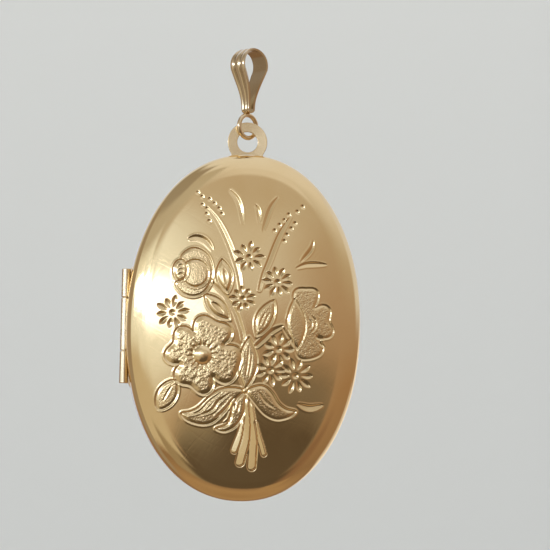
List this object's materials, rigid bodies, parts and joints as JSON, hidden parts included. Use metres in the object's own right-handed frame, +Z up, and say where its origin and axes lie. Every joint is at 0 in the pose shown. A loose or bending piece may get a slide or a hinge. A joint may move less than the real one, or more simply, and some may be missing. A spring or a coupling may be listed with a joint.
{
  "type": "oval hinged locket",
  "caption": "Oval hinged locket in gold with an engraved flower bouquet on the cover, snap-closing rims, two photo frames and a folded bail.",
  "frame": {"origin": "middle of the round at the top of the bail loop, where the chain runs through", "axes": "+Z up as the locket hangs, -Y out of the engraved front, +X away from the hinge"},
  "size_m": [0.0225, 0.0058, 0.0426],
  "materials": {
    "gold_engraved": "polished yellow gold, engraved, lightly scratched",
    "gold_polished": "polished yellow gold, lightly scratched",
    "gold_bail": "polished yellow gold",
    "gold_brushed": "filed and brushed yellow gold",
    "gold_hinge": "drawn gold tube and wire",
    "gold_inner": "bright yellow gold, unworn",
    "clear_window": "thin clear sheet",
    "blank_card": "blank card"
  },
  "bodies": {
    "bail": {"bail_loop": "gold_bail", "bail_ring": "gold_bail"},
    "back_case": {"top_eye": "gold_brushed", "back_shell": "gold_polished", "back_snap_rim": "gold_inner", "hinge_bearer_upper": "gold_hinge", "hinge_bearer_lower": "gold_hinge", "hinge_knuckle_upper": "gold_hinge", "hinge_knuckle_lower": "gold_hinge", "hinge_pin": "gold_hinge", "photo_frame_back": "gold_inner", "window_back": "clear_window", "picture_back": "blank_card"},
    "cover": {"front_shell": "gold_engraved", "front_inner_rim": "gold_inner", "hinge_knuckle_middle": "gold_hinge", "photo_frame_front": "gold_inner", "window_front": "clear_window", "picture_front": "blank_card"}
  },
  "joints": [
    {"name": "case_swing", "type": "hinge", "parent": "bail", "child": "back_case", "pos_m": [0, 0, -0.0058], "axis": [0.5878, -0.809, 0], "range_deg": [-80, 80]},
    {"name": "cover_open", "type": "hinge", "parent": "back_case", "child": "cover", "pos_m": [-0.01105, -0.00022, -0.02476], "axis": [0, 0, -1], "range_deg": [0, 175]}
  ]
}
